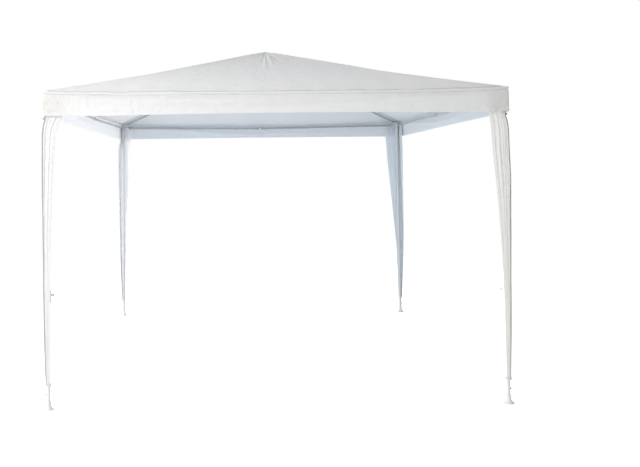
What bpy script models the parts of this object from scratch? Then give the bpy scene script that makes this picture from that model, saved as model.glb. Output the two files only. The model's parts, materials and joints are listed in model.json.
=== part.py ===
"""A three metre square pop-up gazebo with a folding eave frame and folding hip rafters.

Metres, +Z up. The origin is on the ground under the peak. X runs left to right along
the front side, Y runs from the front to the back.

How the frame folds: every eave rail is two tubes hinged in the middle, every hip
rafter is two tubes hinged at an elbow. Both hinges drop, so the four legs come
together round the hub. All hinge pins lie above their tubes, so that the tubes
fold side by side.
"""

import math

import bmesh
import bpy
from mathutils import Matrix, Vector

# ---- driving dimensions (metres, degrees) --------------------------------
CANOPY_HALF = 1.500        # half the side of the roof
EAVE_Z = 2.030             # top of the roof cloth at a corner
PEAK_Z = 2.537             # top of the roof cloth at the peak
VALANCE_DEPTH = 0.158      # hanging border below the eave
EAVE_SAG = 0.015           # the eave's middle hangs this far below its corners
ROOF_SAG = 0.006           # the same, for the cloth ring level with the elbows
CLOTH = 0.003              # thickness of the cloth solids

LEG_XY = 1.470             # leg axis from the centre, along X and along Y
LEG_R, LEG_WALL = 0.0125, 0.0011
LEG_BOTTOM, LEG_TOP = 0.680, 1.999
INNER_R, INNER_WALL = 0.0108, 0.0011
INNER_BOTTOM, INNER_TOP = 0.0068, 1.000

RAIL_R, RAIL_WALL = 0.0095, 0.0012
PIN_ABOVE = 0.0115         # hinge pins above the tubes' centre lines
RAIL_PIN_OUT = 0.052       # leg axis to rail pin
RAIL_PIN_Z = 2.000
RAIL_SAG_DEG = 0.8         # each half rail's droop when the frame is open

RAFTER_PIN_OUT = 0.056     # leg axis to rafter pin, along the diagonal
RAFTER_PIN_Z = 2.028
HUB_PIN_OUT = 0.054        # hub axis to rafter pin
RAFTER_RISE = 0.475
ELBOW_SHARE = 0.4119       # the elbow's place along the rafter, from the leg
ELBOW_SAG = 0.012

HOLE_R, HUB_HOLE_R = 0.0032, 0.0041  # pin holes in the tubes' eyes
HOLE_CUTTER_HALF = 0.012
MID_GAP, END_GAP = 0.0090, 0.0100    # hinge pin to the tube's end
EYE_R = 0.0075             # eyes on the tubes
LUG_HALF = 0.0030          # half a lug's thickness
EAR_IN, EAR_OUT = 0.0035, 0.0065     # inner and outer faces of a pair of plates
WEB_REACH, WEB_TOP = 0.040, 0.0012   # webs that join the eyes to the tubes
LUG_WEB_BOTTOM, FORK_WEB_BOTTOM = -0.0050, -0.0070
WEB_INSET = 0.00005        # keeps a web's faces just inside its eye's faces

EAR_R = 0.0080             # eyes on the corner fittings and the hub
EAR_BACK = 0.0135          # where the ears start inside the corner socket
EAR_PLATE_HALF = EAR_R * 0.985
EAR_EYE_PROUD = 0.00004    # keeps an eye's faces just outside its plate's faces
EAR_PIN_INSET = 0.0005     # pin's end below the ears' outer faces

PIN_R = 0.0025
PIN_HEAD_R, PIN_HEAD = 0.0042, 0.0018
PIN_HEAD_FROM = EAR_OUT + 0.0005     # inner face of a rivet head
PIN_HALF = PIN_HEAD_FROM + 0.001     # the shank ends inside the heads

BORE_R = 0.0130            # leg bore in the sockets and collars
BORE_OVERRUN = 0.01
BORE_TOP_CLEARANCE = 0.0007
SOCKET_R, SOCKET_BOTTOM, SOCKET_TOP = 0.0170, 1.835, 2.030
SOCKET_BOSS_R, SOCKET_BOSS_IN, SOCKET_BOSS_OUT = 0.0058, 0.0140, 0.0200
CORNER_KNOB_Z = 1.857
CORNER_KNOB_NOSE = 0.0130  # leg axis to the knob's nose
COLLAR_R, COLLAR_BOTTOM, COLLAR_TOP = 0.0165, 0.672, 0.752
COLLAR_BOSS_R = 0.0065
COLLAR_BOSS_IN, COLLAR_BOSS_OUT = 0.010, 0.0185  # boss ends, along X and along Y
LEG_KNOB_Z = 0.722
LEG_KNOB_NOSE = 0.0113
KNOB_HOLE_R = 0.0032
ADJUST_STEP, ADJUST_HOLES = 0.140, 4

FOOT_R, FOOT_PLATE, FOOT_TOP = 0.034, 0.0045, 0.052
FOOT_FLOOR = 0.0062        # bottom of the foot's bore
FOOT_BORE_R = INNER_R + 0.0006

DRAPE_OUT = 0.0215         # outer face of the drape from the leg axis
DRAPE_BOTTOM, DRAPE_WIDTH_BOTTOM = 0.168, 0.020
DRAPE_TOP, DRAPE_WIDTH_TOP = 1.990, 0.140
EYELET_R = 0.0082

# ---- derived geometry ----------------------------------------------------
RAIL_SAG = math.radians(RAIL_SAG_DEG)
RAIL_LEN = (LEG_XY - RAIL_PIN_OUT) / math.cos(RAIL_SAG)
RAFTER_RUN = math.sqrt(2) * LEG_XY - RAFTER_PIN_OUT - HUB_PIN_OUT
RAFTER_ANGLE = math.atan2(RAFTER_RISE, RAFTER_RUN)
RAFTER_CHORD = math.hypot(RAFTER_RISE, RAFTER_RUN)
OUTER_CHORD = RAFTER_CHORD * ELBOW_SHARE
INNER_CHORD = RAFTER_CHORD * (1 - ELBOW_SHARE)
OUTER_LEN = math.hypot(OUTER_CHORD, ELBOW_SAG)
INNER_LEN = math.hypot(INNER_CHORD, ELBOW_SAG)
OUTER_ANGLE = RAFTER_ANGLE - math.atan2(ELBOW_SAG, OUTER_CHORD)
INNER_ANGLE = RAFTER_ANGLE + math.atan2(ELBOW_SAG, INNER_CHORD)
HUB_PIN_Z = RAFTER_PIN_Z + RAFTER_RISE

# Front or back, then left or right: the signs of X and Y.
CORNERS = {"fl": (-1, -1), "fr": (1, -1), "bl": (-1, 1), "br": (1, 1)}
# Each side: the leg it starts at, its heading and the names of its halves.
SIDES = {
    "front": ("fl", (1, 0, 0), "left", "right"),
    "left": ("fl", (0, 1, 0), "front", "back"),
    "right": ("fr", (0, 1, 0), "front", "back"),
    "back": ("bl", (1, 0, 0), "left", "right"),
}
INWARD = Vector((1, 1, 0)).normalized()  # from the front left leg to the centre

# ---- turned profiles: (radius, height) from the top down ------------------
# A pull knob's nose is at height 0 and its head is away along +Z.
CORNER_KNOB_PROFILE = [
    (0.0, 0.0225), (0.0040, 0.0225), (0.0056, 0.0212), (0.0056, 0.0120), (0.0044, 0.0100),
    (0.0026, 0.0092), (0.0026, 0.0), (0.0, 0.0)]
LEG_KNOB_PROFILE = [
    (0.0, 0.0290), (0.0060, 0.0290), (0.0080, 0.0275), (0.0080, 0.0190), (0.0060, 0.0162),
    (0.0026, 0.0155), (0.0026, 0.0), (0.0, 0.0)]
# The foot starts at the bottom of its bore, in the middle.
FOOT_PROFILE = [
    (0.0, FOOT_FLOOR), (FOOT_BORE_R, FOOT_FLOOR), (FOOT_BORE_R, FOOT_TOP), (0.0142, FOOT_TOP),
    (0.0160, 0.0260), (0.0230, 0.0120), (FOOT_R, FOOT_PLATE), (FOOT_R, 0.0), (0.0, 0.0)]
HUB_R, HUB_TOP, HUB_BOTTOM = 0.0320, HUB_PIN_Z + 0.010, HUB_PIN_Z - 0.0085
HUB_PROFILE = [
    (0.0, HUB_TOP), (0.0280, HUB_TOP), (HUB_R, HUB_PIN_Z + 0.007), (HUB_R, HUB_BOTTOM),
    (0.0, HUB_BOTTOM)]
CAP_R, CAP_RIM_BOTTOM = 0.045, 2.5136
SPIGOT_R, SPIGOT_BOTTOM = 0.0060, 2.5055
CAP_PROFILE = [
    (0.0, 2.5310), (0.010, 2.5285), (CAP_R, 2.5160), (CAP_R, CAP_RIM_BOTTOM),
    (SPIGOT_R, CAP_RIM_BOTTOM), (SPIGOT_R, SPIGOT_BOTTOM), (0.0, SPIGOT_BOTTOM)]

# ---- scene, collections and materials ------------------------------------
for old in list(bpy.data.objects):
    bpy.data.objects.remove(old, do_unlink=True)

PARTS = bpy.data.collections.new("pop_up_gazebo")
CUTTERS = bpy.data.collections.new("cutters")  # holds shapes while they are worked on
bpy.context.scene.collection.children.link(PARTS)
bpy.context.scene.collection.children.link(CUTTERS)


def make_material(name, colour, roughness, metallic=0.0):
    material = bpy.data.materials.new(name)
    material.use_nodes = True
    shader = material.node_tree.nodes["Principled BSDF"]
    shader.inputs["Base Color"].default_value = (*colour, 1.0)
    shader.inputs["Roughness"].default_value = roughness
    shader.inputs["Metallic"].default_value = metallic
    material.diffuse_color = (*colour, 1.0)
    return material


WHITE_TUBE = make_material("white_powder_coat", colour=(0.80, 0.80, 0.79), roughness=0.38)
WHITE_FITTING = make_material("white_nylon", colour=(0.74, 0.74, 0.73), roughness=0.45)
GREY_PLASTIC = make_material("grey_plastic", colour=(0.34, 0.34, 0.33), roughness=0.50)
ZINC = make_material("zinc_steel", colour=(0.62, 0.62, 0.63), roughness=0.35, metallic=0.9)
CLOTH_WHITE = make_material("white_polyester", colour=(0.84, 0.85, 0.87), roughness=0.75)


# ---- modelling helpers ---------------------------------------------------
def shape_object(builder):
    """Turns a finished bmesh into a working object."""
    mesh = bpy.data.meshes.new("shape")
    builder.to_mesh(mesh)
    builder.free()
    obj = bpy.data.objects.new("shape", mesh)
    CUTTERS.objects.link(obj)
    return obj


def axis_matrix(start, direction):
    """Turns local +Z to the direction and moves the origin to start."""
    turn = Vector((0, 0, 1)).rotation_difference(Vector(direction).normalized())
    return Matrix.Translation(Vector(start)) @ turn.to_matrix().to_4x4()


def cylinder(radius, start, end, segments=10, capped=True):
    start, end = Vector(start), Vector(end)
    length = (end - start).length
    builder = bmesh.new()
    bmesh.ops.create_cone(builder, cap_ends=capped, segments=segments, radius1=radius,
                          radius2=radius, depth=length,
                          matrix=Matrix.Translation((0, 0, length / 2)))
    builder.transform(axis_matrix(start, end - start))
    return shape_object(builder)


def upright(radius, bottom, top, segments=16):
    return cylinder(radius, (0, 0, bottom), (0, 0, top), segments)


def block(low, high):
    low, high = Vector(low), Vector(high)
    builder = bmesh.new()
    bmesh.ops.create_cube(builder, size=1.0)
    size = high - low
    builder.transform(Matrix.Translation((low + high) / 2) @ Matrix.Diagonal((*size, 1.0)))
    return shape_object(builder)


def baked(obj):
    """Replaces the object's mesh with its evaluated mesh and drops its modifiers."""
    bpy.context.view_layer.update()
    graph = bpy.context.evaluated_depsgraph_get()
    mesh = bpy.data.meshes.new_from_object(obj.evaluated_get(graph))
    obj.modifiers.clear()
    obj.data = mesh
    return obj


def solidified(obj, thickness):
    wall = obj.modifiers.new("wall", "SOLIDIFY")
    wall.thickness = thickness
    wall.offset = -1.0
    wall.use_even_offset = True
    return baked(obj)


def combine(base, others, operation):
    """Joins the others to the base, or cuts them from it, and removes them."""
    for other in others:
        cut = base.modifiers.new(operation.lower(), "BOOLEAN")
        cut.operation = operation
        cut.solver = "EXACT"
        cut.object = other
    baked(base)
    for other in others:
        bpy.data.objects.remove(other, do_unlink=True)
    return base


def tube(radius, wall, start, end, segments=12):
    """A round tube, open at both ends."""
    return solidified(cylinder(radius, start, end, segments, capped=False), wall)


def turned(profile, segments=16):
    """A turned solid on the Z axis."""
    builder = bmesh.new()
    points = [builder.verts.new((radius, 0.0, height)) for radius, height in profile]
    for pair in zip(points, points[1:]):
        builder.edges.new(pair)
    obj = shape_object(builder)
    screw = obj.modifiers.new("turn", "SCREW")
    screw.steps = screw.render_steps = segments
    screw.use_merge_vertices = True
    screw.merge_threshold = 0.00005
    return baked(obj)


def released(obj):
    """Removes a working object and keeps its mesh."""
    mesh = obj.data
    bpy.data.objects.remove(obj, do_unlink=True)
    return mesh


def dressed(mesh, material):
    """Colours and shades a mesh."""
    mesh.materials.clear()
    mesh.materials.append(material)
    mesh.shade_smooth()
    mesh.set_sharp_from_angle(angle=math.radians(30))
    return mesh


def mirrored_mesh(mesh, flip_x, flip_y):
    """A copy of a corner's mesh, mirrored for another corner."""
    copy = mesh.copy()
    copy.transform(Matrix.Diagonal((flip_x, flip_y, 1.0, 1.0)))
    if flip_x * flip_y < 0:
        copy.flip_normals()
    return copy


def attach(child, parent):
    """Parents the child and keeps its place."""
    bpy.context.view_layer.update()
    world = child.matrix_world.copy()
    child.parent = parent
    child.matrix_parent_inverse = parent.matrix_world.inverted()
    child.matrix_world = world


def place(mesh, name, matrix=None, parent=None):
    """Adds a finished part to the gazebo."""
    part = bpy.data.objects.new(name, mesh)
    PARTS.objects.link(part)
    if matrix is not None:
        part.matrix_world = matrix
    if parent is not None:
        attach(part, parent)
    return part


# ---- hinged tubes, in a tube's own frame ----------------------------------
# X runs along the tube, Y is the pin's direction, the pin is at z = 0 and the
# tube's centre line is PIN_ABOVE below it.
def plate_spans(inner, outer):
    """The Y extents of a pair of plates, one either side of the middle."""
    return [(-outer, -inner), (inner, outer)]


def eye_plate(x, reach, span, web_bottom):
    """A plate with an eye at x and a web that runs along X by the signed reach."""
    low, high = span
    eye = cylinder(EYE_R, (x, low, 0), (x, high, 0))
    web = block((min(x, x + reach), low + WEB_INSET, web_bottom),
                (max(x, x + reach), high - WEB_INSET, WEB_TOP))
    return combine(eye, [web], "UNION")


def lug(x, reach):
    """A single plate with an eye, on top of the tube."""
    return eye_plate(x, reach, (-LUG_HALF, LUG_HALF), LUG_WEB_BOTTOM)


def fork(x, reach):
    """Two plates with eyes, one either side of a lug."""
    return [eye_plate(x, reach, span, FORK_WEB_BOTTOM) for span in plate_spans(EAR_IN, EAR_OUT)]


def eye_hole(x, radius):
    return cylinder(radius, (x, -HOLE_CUTTER_HALF, 0), (x, HOLE_CUTTER_HALF, 0), 8)


def frame_tube(length, start_gap, end_gap, end_is_fork, end_hole=HOLE_R):
    """Half a rail or rafter: a tube with a lug at its start and a lug or a fork at its end."""
    body = tube(RAIL_R, RAIL_WALL, (start_gap, 0, -PIN_ABOVE), (length - end_gap, 0, -PIN_ABOVE))
    fittings = [lug(0.0, WEB_REACH)]
    fittings += fork(length, -WEB_REACH) if end_is_fork else [lug(length, -WEB_REACH)]
    combine(body, fittings, "UNION")
    combine(body, [eye_hole(0.0, HOLE_R), eye_hole(length, end_hole)], "DIFFERENCE")
    return dressed(released(body), WHITE_TUBE)


def rivet_mesh():
    """A hinge pin along Y with a head at each end."""
    rivet = cylinder(PIN_R, (0, -PIN_HALF, 0), (0, PIN_HALF, 0), 8)
    heads = [cylinder(PIN_HEAD_R, (0, side * PIN_HEAD_FROM, 0),
                      (0, side * (PIN_HEAD_FROM + PIN_HEAD), 0), 8)
             for side in (-1, 1)]
    return dressed(released(combine(rivet, heads, "UNION")), ZINC)


def slope_direction(heading, angle):
    return heading * math.cos(angle) + Vector((0, 0, 1)) * math.sin(angle)


def slope_matrix(origin, heading, angle):
    """Puts a tube's frame at origin, running along the flat heading and rising by angle."""
    x = slope_direction(heading, angle)
    z = Vector((0, 0, 1)) * math.cos(angle) - heading * math.sin(angle)
    y = z.cross(x)
    return Matrix.Translation(origin) @ Matrix((x, y, z)).transposed().to_4x4()


# ---- corner shapes, for the front left leg --------------------------------
# Each leg's axis is local Z. Inward is +X and +Y, outward is -X and -Y.
def ears(direction, out, z, back=EAR_BACK, inner=EAR_IN, outer=EAR_OUT):
    """Two plates with a pin between them, reaching out from an upright body."""
    plates = []
    for low, high in plate_spans(inner, outer):
        plate = block((back, low, -EAR_PLATE_HALF), (out, high, EAR_PLATE_HALF))
        eye = cylinder(EAR_R, (out, low - EAR_EYE_PROUD, 0), (out, high + EAR_EYE_PROUD, 0))
        plates.append(combine(plate, [eye], "UNION"))
    pin_half = outer - EAR_PIN_INSET
    pin = cylinder(PIN_R, (out, -pin_half, 0), (out, pin_half, 0), 8)
    combine(pin, plates, "UNION")
    turn = Vector((1, 0, 0)).rotation_difference(Vector(direction).normalized())
    pin.data.transform(Matrix.Translation((0, 0, z)) @ turn.to_matrix().to_4x4())
    return pin


def outward_rod(radius, start, end, segments):
    """A cylinder along -X at the corner knob's height, between two distances from the axis."""
    return cylinder(radius, (-start, 0, CORNER_KNOB_Z), (-end, 0, CORNER_KNOB_Z), segments)


def inward_hole(start, end, z=LEG_KNOB_Z):
    """A knob hole's cutter along the inward diagonal, between two distances from the axis."""
    height = Vector((0, 0, z))
    return cylinder(KNOB_HOLE_R, INWARD * start + height, INWARD * end + height, 8)


def corner_fitting():
    """The socket on top of a leg, with ears for two rails and a rafter."""
    socket = upright(SOCKET_R, SOCKET_BOTTOM, SOCKET_TOP)
    combine(socket, [
        ears((1, 0, 0), RAIL_PIN_OUT, RAIL_PIN_Z),
        ears((0, 1, 0), RAIL_PIN_OUT, RAIL_PIN_Z),
        ears(INWARD, RAFTER_PIN_OUT, RAFTER_PIN_Z),
        outward_rod(SOCKET_BOSS_R, SOCKET_BOSS_IN, SOCKET_BOSS_OUT, 10)], "UNION")
    bore = upright(BORE_R, SOCKET_BOTTOM - BORE_OVERRUN, LEG_TOP + BORE_TOP_CLEARANCE)
    return combine(socket, [bore, outward_rod(KNOB_HOLE_R, 0.005, 0.030, 8)], "DIFFERENCE")


def lock_collar():
    """The collar at the upper leg's lower end, with a boss facing the centre."""
    collar = upright(COLLAR_R, COLLAR_BOTTOM, COLLAR_TOP)
    boss = cylinder(COLLAR_BOSS_R, (COLLAR_BOSS_IN, COLLAR_BOSS_IN, LEG_KNOB_Z),
                    (COLLAR_BOSS_OUT, COLLAR_BOSS_OUT, LEG_KNOB_Z))
    combine(collar, [boss], "UNION")
    bore = upright(BORE_R, COLLAR_BOTTOM - BORE_OVERRUN, COLLAR_TOP + BORE_OVERRUN)
    return combine(collar, [bore, inward_hole(0.006, 0.040)], "DIFFERENCE")


def upper_leg():
    leg = tube(LEG_R, LEG_WALL, (0, 0, LEG_BOTTOM), (0, 0, LEG_TOP), 16)
    return combine(leg, [inward_hole(0.006, 0.020)], "DIFFERENCE")


def lower_leg():
    """The sliding leg, with a row of height holes from the knob down."""
    leg = tube(INNER_R, INNER_WALL, (0, 0, INNER_BOTTOM), (0, 0, INNER_TOP), 16)
    holes = [inward_hole(0.004, 0.020, LEG_KNOB_Z - i * ADJUST_STEP) for i in range(ADJUST_HOLES)]
    return combine(leg, holes, "DIFFERENCE")


def leg_drape():
    """Cloth bent round the leg's outer sides, wide at the top and narrow at the foot."""
    builder = bmesh.new()
    rows = []
    face = -DRAPE_OUT
    for z, width in ((DRAPE_BOTTOM, DRAPE_WIDTH_BOTTOM), (DRAPE_TOP, DRAPE_WIDTH_TOP)):
        points = ((face + width, face, z), (face, face, z), (face, face + width, z))
        rows.append([builder.verts.new(point) for point in points])
    low, high = rows
    for i in range(2):
        builder.faces.new((low[i], high[i], high[i + 1], low[i + 1]))
    bmesh.ops.recalc_face_normals(builder, faces=builder.faces)
    builder.normal_update()
    # The normals face outward, so that the thickness grows towards the leg.
    if builder.faces[0].normal.y > 0:
        bmesh.ops.reverse_faces(builder, faces=builder.faces)
    drape = solidified(shape_object(builder), CLOTH)
    return combine(drape, [outward_rod(EYELET_R, 0.010, 0.035, 10)], "DIFFERENCE")


# ---- roof shapes, in world position ---------------------------------------
def canopy_shape():
    """Rings of eight points from the border's hem up to the peak, thickened as cloth."""
    builder = bmesh.new()
    ring_signs = [(-1, -1), (0, -1), (1, -1), (1, 0), (1, 1), (0, 1), (-1, 1), (-1, 0)]
    # The elbow's distance from the peak, as a share of the roof's half diagonal.
    elbow_out = RAFTER_RUN * (1 - ELBOW_SHARE) + HUB_PIN_OUT
    elbow = elbow_out / (math.sqrt(2) * CANOPY_HALF)
    elbow_z = PEAK_Z - (PEAK_Z - EAVE_Z) * elbow - ELBOW_SAG

    def ring(half, corner_z, sag):
        return [builder.verts.new((x * half, y * half, corner_z if x and y else corner_z - sag))
                for x, y in ring_signs]

    hem = ring(CANOPY_HALF, EAVE_Z - VALANCE_DEPTH, EAVE_SAG)
    eave = ring(CANOPY_HALF, EAVE_Z, EAVE_SAG)
    middle = ring(CANOPY_HALF * elbow, elbow_z, ROOF_SAG)
    peak = builder.verts.new((0, 0, PEAK_Z))
    for low, high in ((hem, eave), (eave, middle)):
        for i in range(8):
            j = (i + 1) % 8
            builder.faces.new((low[i], low[j], high[j], high[i]))
    for i in range(8):
        builder.faces.new((middle[i], middle[(i + 1) % 8], peak))
    sloping = [face for face in builder.faces
               if len(face.verts) == 4 and abs(face.normal.z) > 0.01]
    bmesh.ops.triangulate(builder, faces=sloping)
    bmesh.ops.recalc_face_normals(builder, faces=builder.faces)
    builder.normal_update()
    if sum(face.normal.z for face in builder.faces) < 0:
        bmesh.ops.reverse_faces(builder, faces=builder.faces)
    return solidified(shape_object(builder), CLOTH)


def hub_shape():
    """A turned block with four pairs of ears on the diagonals."""
    hub = turned(HUB_PROFILE)
    combine(hub, [ears((x, y, 0), HUB_PIN_OUT, HUB_PIN_Z, back=0.026, inner=0.0050, outer=0.0080)
                  for x, y in CORNERS.values()], "UNION")
    spigot_hole = upright(SPIGOT_R + 0.0006, HUB_PIN_Z + 0.001, HUB_PIN_Z + 0.020, 12)
    return combine(hub, [spigot_hole], "DIFFERENCE")


# ---- the assembly --------------------------------------------------------
def place_legs():
    """Places every corner's parts and returns the upper legs."""
    # Part name, mesh, material and the part it is attached to.
    shapes = [
        ("upper_leg", released(upper_leg()), WHITE_TUBE, None),
        ("lower_leg", released(lower_leg()), WHITE_TUBE, "upper_leg"),
        ("foot", released(turned(FOOT_PROFILE, 18)), WHITE_FITTING, "lower_leg"),
        ("corner_fitting", released(corner_fitting()), WHITE_FITTING, "upper_leg"),
        ("leg_lock_collar", released(lock_collar()), WHITE_FITTING, "upper_leg"),
        ("leg_drape", released(leg_drape()), CLOTH_WHITE, "upper_leg"),
    ]
    corner_knob = dressed(released(turned(CORNER_KNOB_PROFILE, 10)), GREY_PLASTIC)
    leg_knob = dressed(released(turned(LEG_KNOB_PROFILE, 10)), WHITE_FITTING)

    legs = {}
    for key, (x, y) in CORNERS.items():
        axis = Vector((x * LEG_XY, y * LEG_XY, 0))
        placed = {}
        for name, mesh, material, parent in shapes:
            mesh = dressed(mirrored_mesh(mesh, -x, -y), material)
            placed[name] = place(mesh, f"{name}_{key}", Matrix.Translation(axis),
                                 placed.get(parent))
        legs[key] = placed["upper_leg"]

        outward, inward = Vector((x, 0, 0)), Vector((-x, -y, 0)).normalized()
        nose = axis + Vector((0, 0, CORNER_KNOB_Z)) + outward * CORNER_KNOB_NOSE
        place(corner_knob.copy(), f"corner_pull_knob_{key}", axis_matrix(nose, outward), legs[key])
        nose = axis + Vector((0, 0, LEG_KNOB_Z)) + inward * LEG_KNOB_NOSE
        place(leg_knob.copy(), f"leg_lock_knob_{key}", axis_matrix(nose, inward), legs[key])
    return legs


def place_hinged_pair(leg, origin, heading, halves, first_len, pin_name):
    """Places two hinged tubes and their pin, and returns the second tube.

    The halves are (mesh, name, rise angle), from the leg onwards.
    """
    (first_mesh, first_name, first_angle), (second_mesh, second_name, second_angle) = halves
    hinge = origin + slope_direction(heading, first_angle) * first_len
    first = place(first_mesh, first_name, slope_matrix(origin, heading, first_angle), leg)
    place(RIVET, pin_name, slope_matrix(hinge, heading, first_angle), first)
    return place(second_mesh, second_name, slope_matrix(hinge, heading, second_angle), first)


def place_rails(legs):
    start_mesh = frame_tube(RAIL_LEN, END_GAP, MID_GAP, end_is_fork=True)
    end_mesh = frame_tube(RAIL_LEN, MID_GAP, END_GAP, end_is_fork=False)
    for side, (start, heading, first, second) in SIDES.items():
        x, y = CORNERS[start]
        heading = Vector(heading)
        origin = Vector((x * LEG_XY, y * LEG_XY, RAIL_PIN_Z)) + heading * RAIL_PIN_OUT
        halves = ((start_mesh, f"{side}_rail_{first}", -RAIL_SAG),
                  (end_mesh, f"{side}_rail_{second}", RAIL_SAG))
        place_hinged_pair(legs[start], origin, heading, halves, RAIL_LEN,
                          f"{side}_rail_hinge_pin")


def place_rafters(legs):
    """Places the hip rafters and returns their inner halves."""
    outer_mesh = frame_tube(OUTER_LEN, END_GAP, MID_GAP, end_is_fork=True)
    inner_mesh = frame_tube(INNER_LEN, MID_GAP, END_GAP, end_is_fork=False, end_hole=HUB_HOLE_R)
    inner_halves = {}
    for key, (x, y) in CORNERS.items():
        heading = Vector((-x, -y, 0)).normalized()
        origin = Vector((x * LEG_XY, y * LEG_XY, RAFTER_PIN_Z)) + heading * RAFTER_PIN_OUT
        halves = ((outer_mesh, f"hip_rafter_outer_{key}", OUTER_ANGLE),
                  (inner_mesh, f"hip_rafter_inner_{key}", INNER_ANGLE))
        inner_halves[key] = place_hinged_pair(legs[key], origin, heading, halves, OUTER_LEN,
                                              f"hip_rafter_elbow_pin_{key}")
    return inner_halves


def place_roof(legs, rafters):
    hub = place(dressed(released(hub_shape()), WHITE_FITTING), "peak_hub", parent=rafters["fl"])
    place(dressed(released(turned(CAP_PROFILE)), WHITE_FITTING), "peak_cap", parent=hub)
    place(dressed(released(canopy_shape()), CLOTH_WHITE), "canopy", parent=legs["fl"])


RIVET = rivet_mesh()
upper_legs = place_legs()
place_rails(upper_legs)
inner_rafters = place_rafters(upper_legs)
place_roof(upper_legs, inner_rafters)
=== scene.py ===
"""The look of the pop up gazebo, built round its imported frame."""
import json
import math

import bpy
import numpy as np
from mathutils import Matrix, Vector


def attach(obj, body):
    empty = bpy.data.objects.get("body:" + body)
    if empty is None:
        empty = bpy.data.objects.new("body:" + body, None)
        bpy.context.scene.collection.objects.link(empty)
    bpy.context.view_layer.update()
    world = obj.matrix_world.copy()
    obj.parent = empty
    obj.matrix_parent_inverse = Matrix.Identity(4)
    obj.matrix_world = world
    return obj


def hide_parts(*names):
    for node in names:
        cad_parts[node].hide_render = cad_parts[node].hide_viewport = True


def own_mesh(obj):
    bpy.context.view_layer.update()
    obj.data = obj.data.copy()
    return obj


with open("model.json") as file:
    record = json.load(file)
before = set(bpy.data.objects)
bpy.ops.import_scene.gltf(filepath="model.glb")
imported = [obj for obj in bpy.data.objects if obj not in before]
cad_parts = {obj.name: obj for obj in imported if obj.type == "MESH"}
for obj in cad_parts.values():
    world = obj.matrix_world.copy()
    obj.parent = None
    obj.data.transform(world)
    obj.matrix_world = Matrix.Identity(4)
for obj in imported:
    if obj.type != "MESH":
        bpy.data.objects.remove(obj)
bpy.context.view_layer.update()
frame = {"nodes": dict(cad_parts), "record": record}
nodes = frame["nodes"]
scene = bpy.context.scene

CORNERS = {"fl": (-1, -1), "fr": (1, -1), "br": (1, 1), "bl": (-1, 1)}
HALF = 1.5
LEG = 1.470
EAVE_Z, PEAK_Z = 2.030, 2.537
ELBOW_S = 0.5713
BAND_S = 0.96
SHEET = 0.0015
LATTICE = np.random.RandomState(24).rand(32, 32, 32)


def smooth(t):
    t = np.clip(t, 0.0, 1.0)
    return t * t * (3 - 2 * t)


def bell(t):
    return np.exp(-np.square(t))


def noise(p, frequency, seed=0):
    """Smooth value noise between -1 and 1 at points p."""
    q = np.asarray(p, float) * frequency + seed * 7.31
    i = np.floor(q).astype(int)
    f = q - i
    f = f * f * (3 - 2 * f)
    total = 0.0
    for dx in (0, 1):
        for dy in (0, 1):
            for dz in (0, 1):
                w = (f[..., 0] if dx else 1 - f[..., 0]) * (f[..., 1] if dy else 1 - f[..., 1]) * (f[..., 2] if dz else 1 - f[..., 2])
                total = total + w * LATTICE[(i[..., 0] + dx) % 32, (i[..., 1] + dy) % 32, (i[..., 2] + dz) % 32]
    return total * 2 - 1


# ---------------------------------------------------------------- materials

def new_material(name):
    m = bpy.data.materials.new(name)
    m.use_nodes = True
    tree = m.node_tree
    for n in list(tree.nodes):
        tree.nodes.remove(n)
    return m, tree, tree.nodes.new("ShaderNodeOutputMaterial")


def mottled(tree, base, spread, scale, detail=4.0):
    """A colour that drifts softly round base."""
    coords = tree.nodes.new("ShaderNodeTexCoord")
    tex = tree.nodes.new("ShaderNodeTexNoise")
    tex.inputs["Scale"].default_value = scale
    tex.inputs["Detail"].default_value = detail
    ramp = tree.nodes.new("ShaderNodeMix")
    ramp.data_type = "RGBA"
    ramp.inputs["A"].default_value = (*[c * (1 - spread) for c in base], 1)
    ramp.inputs["B"].default_value = (*[min(1.0, c * (1 + spread)) for c in base], 1)
    tree.links.new(coords.outputs["Object"], tex.inputs["Vector"])
    tree.links.new(tex.outputs["Fac"], ramp.inputs["Factor"])
    return ramp.outputs["Result"], tex.outputs["Fac"], coords


def hard_material(name, base, roughness, metallic=0.0, coat=0.0, grain=900.0, bump=0.0002, spread=0.02):
    m, tree, out = new_material(name)
    shader = tree.nodes.new("ShaderNodeBsdfPrincipled")
    colour, fac, coords = mottled(tree, base, spread, 9.0)
    shader.inputs["Metallic"].default_value = metallic
    shader.inputs["Coat Weight"].default_value = coat
    shader.inputs["Coat Roughness"].default_value = 0.25
    fine = tree.nodes.new("ShaderNodeTexNoise")
    fine.inputs["Scale"].default_value = grain
    fine.inputs["Detail"].default_value = 3.0
    rough = tree.nodes.new("ShaderNodeMapRange")
    rough.inputs["To Min"].default_value = roughness * 0.85
    rough.inputs["To Max"].default_value = min(1.0, roughness * 1.15)
    relief = tree.nodes.new("ShaderNodeBump")
    relief.inputs["Strength"].default_value = 0.25
    relief.inputs["Distance"].default_value = bump
    tree.links.new(coords.outputs["Object"], fine.inputs["Vector"])
    tree.links.new(fine.outputs["Fac"], relief.inputs["Height"])
    tree.links.new(fac, rough.inputs["Value"])
    tree.links.new(rough.outputs["Result"], shader.inputs["Roughness"])
    tree.links.new(colour, shader.inputs["Base Color"])
    tree.links.new(relief.outputs["Normal"], shader.inputs["Normal"])
    tree.links.new(shader.outputs["BSDF"], out.inputs["Surface"])
    return m


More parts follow.
